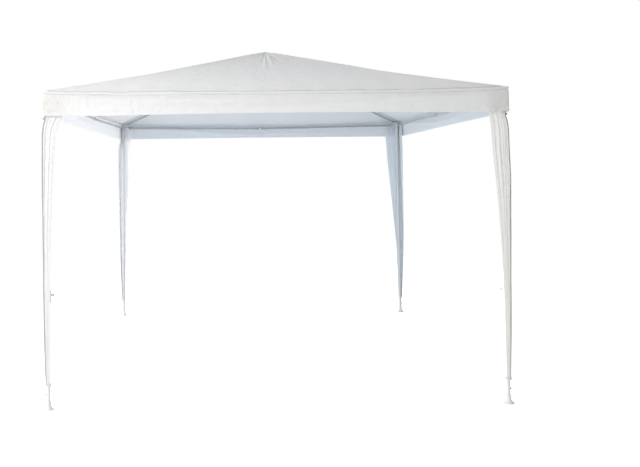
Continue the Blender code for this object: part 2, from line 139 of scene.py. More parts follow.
def cloth_material(name, base, through, share, roughness=0.8, spread=0.012, crease=True, edge=0.0, dent=0.040, shade=0.0):
    """Woven polyester: mostly diffuse with light coming through, a fine weave and faint packing creases."""
    m, tree, out = new_material(name)
    shader = tree.nodes.new("ShaderNodeBsdfPrincipled")
    shader.inputs["Roughness"].default_value = roughness
    shader.inputs["Sheen Weight"].default_value = 0.08
    shader.inputs["Specular IOR Level"].default_value = 0.3
    colour, fac, coords = mottled(tree, base, spread, 3.0, 6.0)
    if shade > 0:
        # painted shade: the roof colour darkens towards the peak, where less light falls
        place = tree.nodes.new("ShaderNodeSeparateXYZ")
        tree.links.new(coords.outputs["Object"], place.inputs["Vector"])
        rise = tree.nodes.new("ShaderNodeMapRange")
        rise.interpolation_type = "SMOOTHSTEP"
        rise.inputs["From Min"].default_value = 1.98
        rise.inputs["From Max"].default_value = 2.50
        rise.inputs["To Min"].default_value = 0.0
        rise.inputs["To Max"].default_value = shade
        tree.links.new(place.outputs["Z"], rise.inputs["Value"])
        painted_peak_shade = tree.nodes.new("ShaderNodeMix")
        painted_peak_shade.data_type = "RGBA"
        painted_peak_shade.inputs["B"].default_value = (0.30, 0.30, 0.30, 1)
        tree.links.new(rise.outputs["Result"], painted_peak_shade.inputs["Factor"])
        tree.links.new(colour, painted_peak_shade.inputs["A"])
        colour = painted_peak_shade.outputs["Result"]
    if edge > 0:
        # painted shade: the colour darkens where the cloth is seen edge on
        facing = tree.nodes.new("ShaderNodeLayerWeight")
        facing.inputs["Blend"].default_value = 0.35
        power = tree.nodes.new("ShaderNodeMath")
        power.operation = "POWER"
        power.inputs[1].default_value = 2.2
        amount = tree.nodes.new("ShaderNodeMath")
        amount.operation = "MULTIPLY"
        amount.inputs[1].default_value = edge
        edge_on_shade = tree.nodes.new("ShaderNodeMix")
        edge_on_shade.data_type = "RGBA"
        edge_on_shade.inputs["B"].default_value = (0.16, 0.165, 0.15, 1)
        tree.links.new(facing.outputs["Facing"], power.inputs[0])
        tree.links.new(power.outputs[0], amount.inputs[0])
        tree.links.new(amount.outputs[0], edge_on_shade.inputs["Factor"])
        tree.links.new(colour, edge_on_shade.inputs["A"])
        colour = edge_on_shade.outputs["Result"]
    tree.links.new(colour, shader.inputs["Base Color"])
    glow = tree.nodes.new("ShaderNodeBsdfTranslucent")
    glow.inputs["Color"].default_value = (*through, 1)
    mix = tree.nodes.new("ShaderNodeMixShader")
    mix.inputs["Fac"].default_value = share
    # soft mottled dents left by packing
    dents = tree.nodes.new("ShaderNodeTexNoise")
    dents.inputs["Scale"].default_value = 17.0
    dents.inputs["Detail"].default_value = 5.0
    dents.inputs["Roughness"].default_value = 0.64
    tree.links.new(coords.outputs["Object"], dents.inputs["Vector"])
    soft = tree.nodes.new("ShaderNodeBump")
    soft.inputs["Strength"].default_value = 0.3
    soft.inputs["Distance"].default_value = dent
    tree.links.new(dents.outputs["Fac"], soft.inputs["Height"])
    last = soft
    if crease:
        # straight creases where the folded cloth was pressed, every 0.4 m each way
        split = tree.nodes.new("ShaderNodeSeparateXYZ")
        tree.links.new(coords.outputs["Object"], split.inputs["Vector"])
        lines = []
        for axis, offset in (("X", 0.13), ("Y", 0.07)):
            shift = tree.nodes.new("ShaderNodeMath")
            shift.operation = "ADD"
            shift.inputs[1].default_value = 10 + offset
            tree.links.new(split.outputs[axis], shift.inputs[0])
            fold = tree.nodes.new("ShaderNodeMath")
            fold.operation = "PINGPONG"
            fold.inputs[1].default_value = 0.21
            tree.links.new(shift.outputs[0], fold.inputs[0])
            line = tree.nodes.new("ShaderNodeMapRange")
            line.interpolation_type = "SMOOTHSTEP"
            line.inputs["From Min"].default_value = 0.0
            line.inputs["From Max"].default_value = 0.006
            line.inputs["To Min"].default_value = 1.0
            line.inputs["To Max"].default_value = 0.0
            tree.links.new(fold.outputs[0], line.inputs["Value"])
            lines.append(line)
        both = tree.nodes.new("ShaderNodeMath")
        both.operation = "MAXIMUM"
        tree.links.new(lines[0].outputs["Result"], both.inputs[0])
        tree.links.new(lines[1].outputs["Result"], both.inputs[1])
        pressed = tree.nodes.new("ShaderNodeBump")
        pressed.inputs["Strength"].default_value = 0.18
        pressed.inputs["Distance"].default_value = 0.002
        tree.links.new(both.outputs[0], pressed.inputs["Height"])
        tree.links.new(soft.outputs["Normal"], pressed.inputs["Normal"])
        last = pressed
    # the weave itself
    waves = []
    for axis in ("X", "Y", "Z"):
        wave = tree.nodes.new("ShaderNodeTexWave")
        wave.wave_type = "BANDS"
        wave.bands_direction = axis
        wave.inputs["Scale"].default_value = 420.0
        tree.links.new(coords.outputs["Object"], wave.inputs["Vector"])
        waves.append(wave)
    add = tree.nodes.new("ShaderNodeMath")
    add.operation = "ADD"
    tree.links.new(waves[0].outputs["Fac"], add.inputs[0])
    tree.links.new(waves[1].outputs["Fac"], add.inputs[1])
    add2 = tree.nodes.new("ShaderNodeMath")
    add2.operation = "ADD"
    tree.links.new(add.outputs[0], add2.inputs[0])
    tree.links.new(waves[2].outputs["Fac"], add2.inputs[1])
    weave = tree.nodes.new("ShaderNodeBump")
    weave.inputs["Strength"].default_value = 0.1
    weave.inputs["Distance"].default_value = 0.0001
    tree.links.new(add2.outputs[0], weave.inputs["Height"])
    tree.links.new(last.outputs["Normal"], weave.inputs["Normal"])
    tree.links.new(weave.outputs["Normal"], shader.inputs["Normal"])
    tree.links.new(weave.outputs["Normal"], glow.inputs["Normal"])
    tree.links.new(shader.outputs["BSDF"], mix.inputs[1])
    tree.links.new(glow.outputs["BSDF"], mix.inputs[2])
    tree.links.new(mix.outputs["Shader"], out.inputs["Surface"])
    return m


POWDER = hard_material("white_powder_coat", (0.70, 0.70, 0.69), 0.34, coat=0.25, grain=700.0, bump=0.0003)
# painted shade: a darker, bluer copy of the powder coat for the back legs, their fittings and collars, which sit in
# shadow
POWDER_SHADE_BACK = hard_material("white_powder_coat_shade_back", (0.56, 0.59, 0.62), 0.40, coat=0.15, grain=700.0, bump=0.0003)
# painted shade: a darker copy of the powder coat for the rails and rafters, which sit in shadow under the roof
FRAME_SHADE = hard_material("white_powder_coat_shade", (0.36, 0.39, 0.42), 0.42, coat=0.1, grain=700.0, bump=0.0003)
NYLON = hard_material("white_nylon", (0.74, 0.74, 0.73), 0.52, grain=500.0, bump=0.0002)
GREY = hard_material("grey_plastic", (0.23, 0.235, 0.225), 0.5, grain=400.0, bump=0.0002, spread=0.05)
ZINC = hard_material("zinc_steel", (0.62, 0.63, 0.64), 0.36, metallic=1.0, grain=300.0, bump=0.0001, spread=0.06)
ROOF = cloth_material("white_polyester_roof", (0.832, 0.814, 0.790), (0.88, 0.89, 0.91), 0.36, shade=0.29)
ROOF_UNDER = cloth_material("white_polyester_under", (0.80, 0.84, 0.88), (0.80, 0.88, 0.97), 0.44)
# painted light: a brighter, more translucent copy of the lining for the left side, which the lamps light more
ROOF_UNDER_LIT_LEFT = cloth_material("white_polyester_under_lit_left", (0.86, 0.89, 0.93), (0.96, 0.98, 1.0), 0.78)
DRAPE = cloth_material("white_polyester_drape", (0.84, 0.84, 0.83), (0.84, 0.88, 0.93), 0.36, crease=False, edge=0.55, dent=0.004)

# painted shade: a dark cloth colour for the strip over each leg cover's outer corner
CORNER_SHADE_CLOTH = cloth_material("white_polyester_corner_shade", (0.33, 0.33, 0.32), (0.50, 0.52, 0.52), 0.15, crease=False, edge=0.5, dent=0.002)

# painted light and shade: lighter copies of the cover cloth for the front right and back left covers, and a darker,
# bluer one for the back right
DRAPE_LIT_FR = cloth_material("white_polyester_cover_lit_fr", (0.915, 0.912, 0.893), (0.90, 0.91, 0.91), 0.36, crease=False, edge=0.55, dent=0.004)
DRAPE_LIT_BL = cloth_material("white_polyester_cover_lit_bl", (0.96, 0.96, 0.97), (0.96, 0.97, 1.0), 0.48, crease=False, edge=0.55, dent=0.004)
DRAPE_SHADE_BR = cloth_material("white_polyester_cover_shade_br", (0.80, 0.85, 0.89), (0.82, 0.90, 0.97), 0.36, crease=False, edge=0.55, dent=0.004)
# the eave seam colour: darker partly for the seam itself and partly as painted shade of its groove
SEAM_AND_SHADE = cloth_material("white_polyester_seam_and_shade", (0.71, 0.70, 0.69), (0.60, 0.61, 0.62), 0.30, crease=False, edge=0.5, dent=0.002)

SLOT_OF = {}
for part in frame["record"].get("subparts", []):
    SLOT_OF[part.get("node")] = part.get("material") or part.get("material_slot")
FINISH = {"white_powder_coat": POWDER, "white_nylon": NYLON, "grey_plastic": GREY, "zinc_steel": ZINC, "white_polyester": ROOF}


def finish_of(name):
    if SLOT_OF.get(name) in FINISH:
        return FINISH[SLOT_OF[name]]
    if "knob" in name:
        return GREY
    if "pin" in name:
        return ZINC
    if any(w in name for w in ("foot", "fitting", "collar", "hub", "cap")):
        return NYLON
    return POWDER


for name, obj in nodes.items():
    obj.data.materials.clear()
    # rails and rafters take the darker painted-shade copy of the powder coat
    tube = "rafter" in name or "_rail_" in name
    # the back legs with their fittings and collars take the painted-shade copy of the powder coat
    shaded = name in ("upper_leg_bl", "upper_leg_br", "lower_leg_bl", "lower_leg_br", "corner_fitting_bl", "corner_fitting_br",
                      "leg_lock_collar_bl", "leg_lock_collar_br")
    obj.data.materials.append(FRAME_SHADE if tube and "pin" not in name else POWDER_SHADE_BACK if shaded else finish_of(name))


# ---------------------------------------------------------------- mesh tools

def make_object(name, verts, faces, materials, face_slots=None, loop_normals=None, smooth_faces=True):
    mesh = bpy.data.meshes.new(name)
    verts = np.asarray(verts, float)
    sizes = np.array([len(f) for f in faces], np.int32) if not isinstance(faces, np.ndarray) else np.full(len(faces), faces.shape[1], np.int32)
    flat = np.concatenate([np.asarray(f, np.int32) for f in faces]) if not isinstance(faces, np.ndarray) else faces.astype(np.int32).ravel()
    mesh.vertices.add(len(verts))
    mesh.vertices.foreach_set("co", verts.astype(np.float32).ravel())
    mesh.loops.add(len(flat))
    mesh.loops.foreach_set("vertex_index", flat)
    mesh.polygons.add(len(sizes))
    starts = np.concatenate([[0], np.cumsum(sizes)[:-1]]).astype(np.int32)
    mesh.polygons.foreach_set("loop_start", starts)
    mesh.polygons.foreach_set("use_smooth", np.full(len(sizes), smooth_faces))
    for m in materials:
        mesh.materials.append(m)
    if face_slots is not None:
        mesh.polygons.foreach_set("material_index", np.asarray(face_slots, np.int32))
    mesh.update(calc_edges=True)
    mesh.validate()
    if loop_normals is not None:
        mesh.normals_split_custom_set(loop_normals)
    obj = bpy.data.objects.new(name, mesh)
    scene.collection.objects.link(obj)
    return obj


def grid_normals(p, wrap):
    """Vertex normals of a grid of points (rows, columns, 3), from the mean of the faces round each."""
    q = np.concatenate([p, p[:, :1]], axis=1) if wrap else p
    a, b, c, d = q[:-1, :-1], q[1:, :-1], q[1:, 1:], q[:-1, 1:]
    f = np.cross(c - a, d - b)
    f /= np.maximum(np.linalg.norm(f, axis=-1, keepdims=True), 1e-12)
    n = np.zeros_like(p)
    if wrap:
        n[:-1] += f
        n[1:] += f
        g = np.roll(f, 1, axis=1)
        n[:-1] += g
        n[1:] += g
    else:
        n[:-1, :-1] += f
        n[1:, :-1] += f
        n[:-1, 1:] += f
        n[1:, 1:] += f
    return n / np.maximum(np.linalg.norm(n, axis=-1, keepdims=True), 1e-12)


def closed_sheet(name, outer, normals, thickness, materials, wrap=False, apex=None, drop=None, paint=None):
    """A closed sheet of cloth from a grid of points: the outer face, an inner face and the rim that joins them.
    apex closes row 0 with a fan, and drop is a mask of cells left out."""
    rows, cols = outer.shape[:2]
    inner = outer - normals * thickness
    count = rows * cols
    verts = [outer.reshape(-1, 3), inner.reshape(-1, 3)]
    index = np.arange(count).reshape(rows, cols)
    right = np.roll(index, -1, axis=1) if wrap else index[:, 1:]
    left = index if wrap else index[:, :-1]
    cells = np.stack([left[:-1], left[1:], right[1:], right[:-1]], axis=-1)
    keep = np.ones(cells.shape[:2], bool) if drop is None else ~drop
    quads = cells[keep]
    # rim edges: every edge used by one kept face only
    edges = np.concatenate([quads[:, [0, 1]], quads[:, [1, 2]], quads[:, [2, 3]], quads[:, [3, 0]]])
    apex_faces = None
    if apex is not None:
        verts.append(np.array([apex, apex - np.array([0, 0, thickness])]))
        ring = np.stack([np.full(cols, 2 * count), index[0], np.roll(index[0], -1)], axis=-1)
        apex_faces = ring
        edges = np.concatenate([edges, ring[:, [0, 1]], ring[:, [1, 2]], ring[:, [2, 0]]])
    big = 2 * count + 2
    key = edges[:, 0].astype(np.int64) * big + edges[:, 1]
    back = edges[:, 1].astype(np.int64) * big + edges[:, 0]
    free = edges[~np.isin(key, back)]
    rim = np.stack([free[:, 1], free[:, 0], free[:, 0] + count, free[:, 1] + count], axis=-1)
    under = quads[:, ::-1] + count
    faces = [quads, under, rim]
    top = np.zeros(len(quads), int) if paint is None else np.where(paint[keep], 2, 0)
    slots = [top, np.ones(len(under), int), np.ones(len(rim), int)]
    allv = np.concatenate(verts)
    flatn = np.concatenate([normals.reshape(-1, 3), -normals.reshape(-1, 3)])
    ra = allv[rim]
    rn = np.cross(ra[:, 2] - ra[:, 0], ra[:, 3] - ra[:, 1])
    rn /= np.maximum(np.linalg.norm(rn, axis=-1, keepdims=True), 1e-12)
    loops = [flatn[quads].reshape(-1, 3), flatn[under].reshape(-1, 3), np.repeat(rn, 4, axis=0)]
    listed = [list(x) for x in np.concatenate(faces)]
    if apex_faces is not None:
        down = apex_faces[:, ::-1].copy()
        down = np.where(down == 2 * count, 2 * count + 1, down + count)
        listed += [list(x) for x in apex_faces] + [list(x) for x in down]
        slots += [np.zeros(cols, int), np.ones(cols, int)]
        upn = np.concatenate([flatn, [[0, 0, 1.0], [0, 0, -1.0]]])
        loops += [upn[apex_faces].reshape(-1, 3), upn[down].reshape(-1, 3)]
    used = np.zeros(len(allv), bool)
    for f in ([quads, under, rim] + ([apex_faces, down] if apex_faces is not None else [])):
        used[f.ravel()] = True
    renumber = np.cumsum(used) - 1
    if not used.all():
        listed = [[int(renumber[v]) for v in f] for f in listed]
        allv = allv[used]
    return make_object(name, allv, listed, materials, np.concatenate(slots), np.concatenate(loops).tolist())


def turned(name, profile, origin, axis, material, segments=40):
    """A solid turned from (radius, height) pairs round axis at origin; the ends close on the axis."""
    z = Vector(axis).normalized()
    x = z.orthogonal().normalized()
    y = z.cross(x)
    o = Vector(origin)
    verts, faces = [], []
    ring_at = []
    for r, h in profile:
        if r <= 1e-9:
            ring_at.append([len(verts)])
            verts.append(o + z * h)
        else:
            ring_at.append(list(range(len(verts), len(verts) + segments)))
            for i in range(segments):
                t = 2 * math.pi * i / segments
                verts.append(o + z * h + (x * math.cos(t) + y * math.sin(t)) * r)
    for a, b in zip(ring_at[:-1], ring_at[1:]):
        for i in range(segments):
            j = (i + 1) % segments
            if len(a) == 1 and len(b) == 1:
                continue
            if len(a) == 1:
                faces.append([a[0], b[j], b[i]][::-1])
            elif len(b) == 1:
                faces.append([a[i], a[j], b[0]])
            else:
                faces.append([a[i], a[j], b[j], b[i]])
    mesh = bpy.data.meshes.new(name)
    mesh.from_pydata([tuple(v) for v in verts], [], faces)
    mesh.materials.append(material)
    mesh.shade_smooth()
    mesh.set_sharp_from_angle(angle=math.radians(35))
    obj = bpy.data.objects.new(name, mesh)
    scene.collection.objects.link(obj)
    return obj


# ---------------------------------------------------------------- roof cloth

GORES = [((0, -1), (1, 0), "fl", "fr"), ((1, 0), (0, 1), "fr", "br"), ((0, 1), (-1, 0), "br", "bl"), ((-1, 0), (0, -1), "bl", "fl")]
NEAR = [0.0, 0.004, 0.008, 0.014, 0.022, 0.032, 0.045]
SPLIT = 96
GORE_A = np.array([-1 + d / HALF for d in NEAR] + list(np.linspace(-BAND_S, BAND_S, 2 * SPLIT + 1)) + [1 - d / HALF for d in NEAR[:0:-1]])
PER = len(GORE_A)
CORNER_COL, BAND_COL, MID_COL = 0, len(NEAR), len(NEAR) + SPLIT
A = np.tile(GORE_A, 4)
GORE = np.repeat(np.arange(4), PER)
COLS = len(A)

roof_s = list(np.array([0.004, 0.010, 0.016, 0.022, 0.028, 0.034])) + list(np.linspace(0.04, ELBOW_S, 54)) \
    + list(np.linspace(ELBOW_S, BAND_S, 41))[1:] + list(np.linspace(BAND_S, 1 - 0.008 / HALF, 5))[1:]
PEAK_ROW = 6
ELBOW_ROW = PEAK_ROW + 53
BAND_ROW = ELBOW_ROW + 40
S = np.array(roof_s)
FILLET = [0.2, 0.4, 0.6, 0.8, 1.0]
DROPS = np.concatenate([np.linspace(0.0, 0.022, 8)[1:], np.linspace(0.022, 0.150, 19)[1:]])

SAG = {"fl": 0.012, "fr": 0.016, "br": 0.012, "bl": 0.012}
EAVE_DIP = [(0.017, 5.0), (0.020, 3.0), (0.035, 2.2), (0.020, 3.0)]
HEM_LIFT = [0.021, 0.020, 0.038, 0.020]
DEPTH = 0.158
EASE = 0.0055


def roof_height(s, a, gore):
    """Height of the cloth at share s of the way out, a across the gore."""
    m = HALF * s
    z = PEAK_Z + 0.001 - (PEAK_Z - EAVE_Z) * s
    low = np.array([SAG[GORES[g][2]] for g in range(4)])[gore]
    high = np.array([SAG[GORES[g][3]] for g in range(4)])[gore]
    hip = low + (high - low) * (1 + a) / 2
    tri = np.where(s < ELBOW_S, s / ELBOW_S, (1 - s) / (1 - ELBOW_S))
    tri = 1 - np.sqrt(np.square(1 - tri) + 0.0036) + 0.03 * tri
    z = z - hip * np.clip(tri, 0, 1)
    dip = np.array([e for e, _ in EAVE_DIP])[gore]
    power = np.array([p for _, p in EAVE_DIP])[gore]
    z = z - dip * (1 - np.abs(a) ** power) * s ** 1.6
    z = z - 0.012 * np.sin(np.pi * np.clip(s, 0, 1)) * (1 - a * a)
    return z


def ring(m, a, gore):
    """Plan points of the cloth at distance m from the centre line, with the hips rounded over."""
    rc = np.minimum(0.010, 0.5 * m)
    d = (1 - np.abs(a)) * m
    turn = np.where(d < rc, (1 - d / np.maximum(rc, 1e-9)) * math.pi / 4, 0.0)
    out = np.where(d < rc, m - rc + rc * np.cos(turn), m)
    along = np.where(d < rc, np.sign(a) * (m - rc + rc * np.sin(turn)), a * m)
    o = np.array([g[0] for g in GORES], float)[gore]
    t = np.array([g[1] for g in GORES], float)[gore]
    return o * out[..., None] + t * along[..., None]


def build_canopy():
    rows = len(S) + len(FILLET) + len(DROPS)
    P = np.zeros((rows, COLS, 3))
    V = np.zeros((rows, COLS))           # distance down the border
    for i, s in enumerate(S):
        sv = np.full(COLS, s)
        P[i, :, :2] = ring(HALF * sv, A, GORE)
        P[i, :, 2] = roof_height(sv, A, GORE)
    one = np.ones(COLS)
    last = P[len(S) - 1].copy()
    edge = np.zeros((COLS, 3))
    edge[:, :2] = ring(HALF * one, A, GORE)
    edge[:, 2] = roof_height(one, A, GORE)
    down = edge - np.array([0, 0, 0.008])
    for n, t in enumerate(FILLET):
        P[len(S) + n] = last * (1 - t) ** 2 + edge * 2 * t * (1 - t) + down * t * t
    lift = np.array(HEM_LIFT)[GORE] * (1 - np.abs(A) ** 2.0)
    depth = DEPTH - 0.008 - lift
    base = len(S) + len(FILLET)
    for n, v in enumerate(DROPS):
        share = v / DROPS[-1]
        # the top 22 mm keeps its own depth, the rest stretches to the hem
        dv = np.where(v <= 0.022, v, 0.022 + (v - 0.022) / (0.150 - 0.022) * (depth - 0.022))
        P[base + n, :, :2] = edge[:, :2]
        P[base + n, :, 2] = down[:, 2] - dv
        V[base + n] = 0.008 + dv
    for n, t in enumerate(FILLET):
        V[len(S) + n] = 0.008 * t * t

    nrm = grid_normals(P, True)
    D = np.zeros((rows, COLS))
    x, y = P[..., 0], P[..., 1]
    roof = np.zeros((rows, COLS))
    roof[:len(S)] = 1
    m = np.maximum(np.abs(x), np.abs(y))
    phi = np.arctan2(y, x)
    r = np.hypot(x, y)
    off_hip = (1 - np.abs(A))[None, :] * m
    # pleats gathered under the peak
    fan = np.zeros_like(phi)
    for k, w, ph in ((9, 0.5, 0.4), (14, 1.0, 1.3), (19, 0.8, 2.9), (26, 0.7, 0.2), (33, 0.4, 4.1)):
        fan += w * np.cos(k * phi + ph)
    D += roof * 0.0016 * fan * bell((m - 0.20) / 0.17) * smooth((m - 0.02) / 0.10)
    # a few sharper gathers that start under the peak on every side
    for n in range(4):
        mid = (-math.pi / 2, 0.0, math.pi / 2, math.pi)[n]
        turn_from = (phi - mid + math.pi) % (2 * math.pi) - math.pi
        for place, width, height, reach in ((-0.17, 0.030, 0.0040, 0.60), (-0.05, 0.026, 0.0058, 0.82), (0.06, 0.026, 0.0052, 0.70),
                                            (0.15, 0.030, 0.0038, 0.52), (0.36, 0.045, 0.0032, 0.60), (-0.42, 0.045, 0.0030, 0.55)):
            shift = 0.05 * noise(np.stack([m * 0 + n, m * 0 + place, m * 0], -1), 3.1, 17)
            gather = bell((turn_from - place - shift) / width)
            D += roof * height * gather * smooth(m / 0.10) * smooth((reach - m) / 0.35)
    # puckers across the hips where the cloth is drawn tight to the seam
    for key, strength in (("fr", 1.0), ("fl", 0.5), ("br", 0.5), ("bl", 0.5)):
        cx, cy = CORNERS[key]
        across = np.abs(x * cy - y * cx) / math.sqrt(2)
        side = (x * cx + y * cy) > 0
        D += roof * side * strength * 0.0042 * bell((across - 0.006) / 0.030) * smooth((r - 0.03) / 0.12) * smooth((1.25 - r) / 0.6)
        wave = np.cos(2 * math.pi * (r + 0.35 * across) / 0.062 + 1.5 * noise(P, 3.0, 3))
        D += roof * side * strength * 0.0012 * wave * bell(across / 0.06) * smooth((r - 0.12) / 0.15) * smooth((1.35 - r) / 0.7)
    # folds drawn out of each corner
    for n, (key, (cx, cy)) in enumerate(CORNERS.items()):
        dx, dy = cx * HALF - x, cy * HALF - y
        rr = np.hypot(dx, dy)
        angle = np.arctan2(np.abs(dy), np.abs(dx))
        rays = np.cos(13 * angle + 0.7 * n) + 0.6 * np.cos(23 * angle + 1.9 * n + 1)
        D += roof * 0.0022 * rays * np.exp(-rr / 0.42) * smooth((rr - 0.06) / 0.2)
    calm = 0.25 + 0.75 * smooth(off_hip / 0.06)
    near = np.minimum.reduce([np.hypot(x - cx * HALF, y - cy * HALF) for cx, cy in CORNERS.values()])
    calm = calm * (0.3 + 0.7 * smooth((near - 0.05) / 0.15)) * (0.35 + 0.65 * smooth((m - 0.05) / 0.1))
    D += roof * calm * (0.0034 * noise(P, 1.9, 1) + 0.0024 * noise(P, 4.6, 2) + 0.0016 * noise(P, 11.0, 4) + 0.0007 * noise(P, 24.0, 5))
    # fine crumples round the peak
    crumple = smooth((0.90 - m) / 0.45) * smooth((m - 0.08) / 0.12)
    D += roof * calm * crumple * (0.0009 * noise(P, 28.0, 31) + 0.0010 * noise(P, 15.0, 32))
    # long soft folds that run down the slope
    run = A[None, :] * m
    D += roof * calm * 0.0011 * np.sin(2 * math.pi * run / 0.23 + 2.5 * noise(P, 1.3, 6)) * smooth((m - 0.2) / 0.5)

    # a row of stitching on the roof side of the eave
    D += roof * -0.0030 * bell((m - 1.4745) / 0.007)

    # the border that hangs round the eave
    border = 1 - roof
    q = A * HALF
    qq = np.broadcast_to(q[None, :], V.shape)
    from_corner = HALF - np.abs(qq)
    D += border * -0.0050 * bell((V - 0.0165) / 0.0055) * (0.8 + 0.35 * noise(P, 5.0, 15))
    D += border * 0.0012 * bell((V - 0.006) / 0.005)
    crease_at = 0.088 - 0.052 * smooth(qq / 1.25) + 0.006 * noise(P, 1.1, 9)
    D += border * -0.0075 * bell((V - crease_at) / 0.017) * (0.35 + 0.65 * smooth((qq + 0.9) / 1.0)) * smooth((from_corner - 0.02) / 0.3)
    fold_at = 0.046 + 0.016 * np.sin(qq * 2.1 + 0.6) + 0.005 * noise(P, 1.7, 19)
    D += border * -0.0042 * bell((V - fold_at) / 0.0085) * smooth((0.25 - qq) / 0.8) * smooth((from_corner - 0.10) / 0.4)
    crease_low = 0.112 + 0.030 * (qq / HALF) ** 2
    D += border * -0.0018 * bell((V - crease_low) / 0.012) * smooth(from_corner / 0.25)
    theta = np.arctan2(V, from_corner + 0.01)
    D += border * 0.0017 * np.cos(17 * theta + 0.8 * noise(P, 2.0, 18)) * np.exp(-from_corner / 0.5) * smooth((from_corner - 0.10) / 0.25)
    sway = 0.55 * noise(P * np.array([1, 1, 0.15]), 3.2, 11) + 0.45 * noise(P * np.array([1, 1, 0.3]), 8.0, 12)
    D += border * 0.0052 * sway * smooth(V / 0.15) * (0.25 + 0.75 * smooth((from_corner - 0.03) / 0.25))
    D += border * 0.0012 * noise(P, 16.0, 14)
    D += border * 0.0030 * smooth((V - 0.02) / 0.13) * smooth((from_corner - 0.02) / 0.15)
    # a stitched hem
    from_hem = (DEPTH - lift)[None, :] - V
    D += border * 0.0006 * smooth((0.020 - from_hem) / 0.003)
    # cloth keeps clear of the leg covers at the corners
    ease = smooth((from_corner - 0.05) / 0.30)
    low_part = smooth((V - 0.026) / 0.012)
    D = np.where((border > 0) & (D < 0), D * (1 - low_part * (1 - ease) * 0.85), D)
    P = P + D[..., None] * nrm
    P[..., :2] *= (1 + EASE * smooth((m - 1.15) / 0.3))[..., None]
    return P, grid_normals(P, True)


P, N = build_canopy()
LAST = P.shape[0] - 1
CLOTH_SLOTS = [ROOF, ROOF_UNDER, SEAM_AND_SHADE]
# rows that carry the stitching either side of the eave, painted darker: partly the seam itself and partly painted
# shade of the groove it makes
STITCHED_AND_SHADED = np.zeros(LAST, bool)
for i in range(len(S) - 1):
    STITCHED_AND_SHADED[i] = abs(HALF * (S[i] + S[i + 1]) / 2 - 1.4745) < 0.0045
for n in range(len(DROPS) - 1):
    STITCHED_AND_SHADED[len(S) + len(FILLET) + n] = abs(0.008 + (DROPS[n] + DROPS[n + 1]) / 2 - 0.0165) < 0.0017


def cut(name, r0, r1, cols, body):
    sewn_and_shaded = np.repeat(STITCHED_AND_SHADED[r0:r1, None], len(cols) - 1, 1)
    # the left border pieces and the left corners take the painted-light lining
    lit_side = "_left_" in name or name in ("canopy_corner_fl", "canopy_corner_bl")
    slots = [ROOF, ROOF_UNDER_LIT_LEFT if lit_side else ROOF_UNDER] + ([SEAM_AND_SHADE] if sewn_and_shaded.any() else [])
    obj = closed_sheet(name, P[r0:r1 + 1][:, cols], N[r0:r1 + 1][:, cols], SHEET, slots, paint=sewn_and_shaded if sewn_and_shaded.any() else None)
    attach(obj, body)
    return obj


peak = closed_sheet("canopy_peak", P[:PEAK_ROW + 1], N[:PEAK_ROW + 1], SHEET, CLOTH_SLOTS[:2], wrap=True,
                    apex=np.array([0.0, 0.0, P[0, :, 2].max() + 0.0006]))
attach(peak, "hub")
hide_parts("canopy")

for g, (o, t, k0, k1) in enumerate(GORES):
    start = g * PER
    halves = {
        k0: (list(range(start, start + MID_COL + 1)), -1),
        k1: ([c % COLS for c in range(start + MID_COL, start + PER + 1)], 1),
    }
    for key, (cols, sign) in halves.items():
        side = ("front", "right", "back", "left")[g]
        piece = cut(f"canopy_inner_{side}_{key}", PEAK_ROW, ELBOW_ROW, cols, f"rafter_inner_{key}")
        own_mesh(piece)
        piece = cut(f"canopy_outer_{side}_{key}", ELBOW_ROW, BAND_ROW, cols, f"rafter_outer_{key}")
        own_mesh(piece)
        # the eave band with its hanging border
        if sign < 0:
            band = list(range(start + BAND_COL, start + MID_COL + 1))
        else:
            band = list(range(start + MID_COL, start + MID_COL + SPLIT + 1))
        piece = cut(f"canopy_edge_{side}_{key}", BAND_ROW, LAST, band, f"leg_{key}")
        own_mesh(piece)
    # the corner after this gore
    end = start + MID_COL + SPLIT
    corner = [c % COLS for c in range(end, start + PER + BAND_COL + 1)]
    cut(f"canopy_corner_{k1}", BAND_ROW, LAST, corner, f"leg_{k1}")


# ---------------------------------------------------------------- leg covers

COVER = {
    # height: reach inwards, reach outwards from the leg's axis
    "fr": [(1.99, .098, .0225), (1.885, .092, .0225), (1.845, .089, .0240), (1.80, .086, .034), (1.74, .083, .037), (1.60, .077, .038), (1.43, .062, .041),
           (1.27, .050, .038), (1.10, .040, .036), (.95, .032, .033), (.80, .024, .031), (.63, .018, .028), (.43, .0155, .0235), (.28, .0145, .0195), (.15, .0138, .0160)],
    "fl": [(1.99, .110, .0225), (1.885, .100, .0225), (1.845, .092, .0240), (1.80, .066, .034), (1.77, .057, .036), (1.69, .050, .037), (1.6, .044, .037), (1.46, .037, .037),
           (1.3, .031, .036), (1.2, .028, .035), (1.0, .024, .033), (.77, .020, .032), (.7, .019, .031), (.55, .017, .029), (.47, .016, .027),
           (.32, .0150, .024), (.24, .0145, .0205), (.15, .0138, .0160)],
    "br": [(1.99, .130, .0225), (1.885, .124, .0225), (1.845, .118, .0240), (1.80, .112, .029), (1.65, .104, .030), (1.55, .096, .032), (1.36, .078, .035), (1.17, .060, .039),
           (.97, .044, .042), (.88, .035, .043), (.68, .020, .041), (.59, .017, .038), (.4, .0155, .030), (.28, .0148, .023), (.20, .0142, .0185), (.15, .0138, .0160)],
    "bl": [(1.99, .105, .0225), (1.885, .092, .0225), (1.845, .080, .0240), (1.78, .070, .044), (1.6, .058, .048), (1.45, .047, .048), (1.25, .035, .045),
           (1.05, .024, .043), (.9, .019, .041), (.72, .0165, .038), (.62, .016, .036), (.43, .0155, .030), (.34, .0150, .025), (.20, .0142, .0185), (.15, .0138, .0160)],
}
KNOB_Z = 1.857


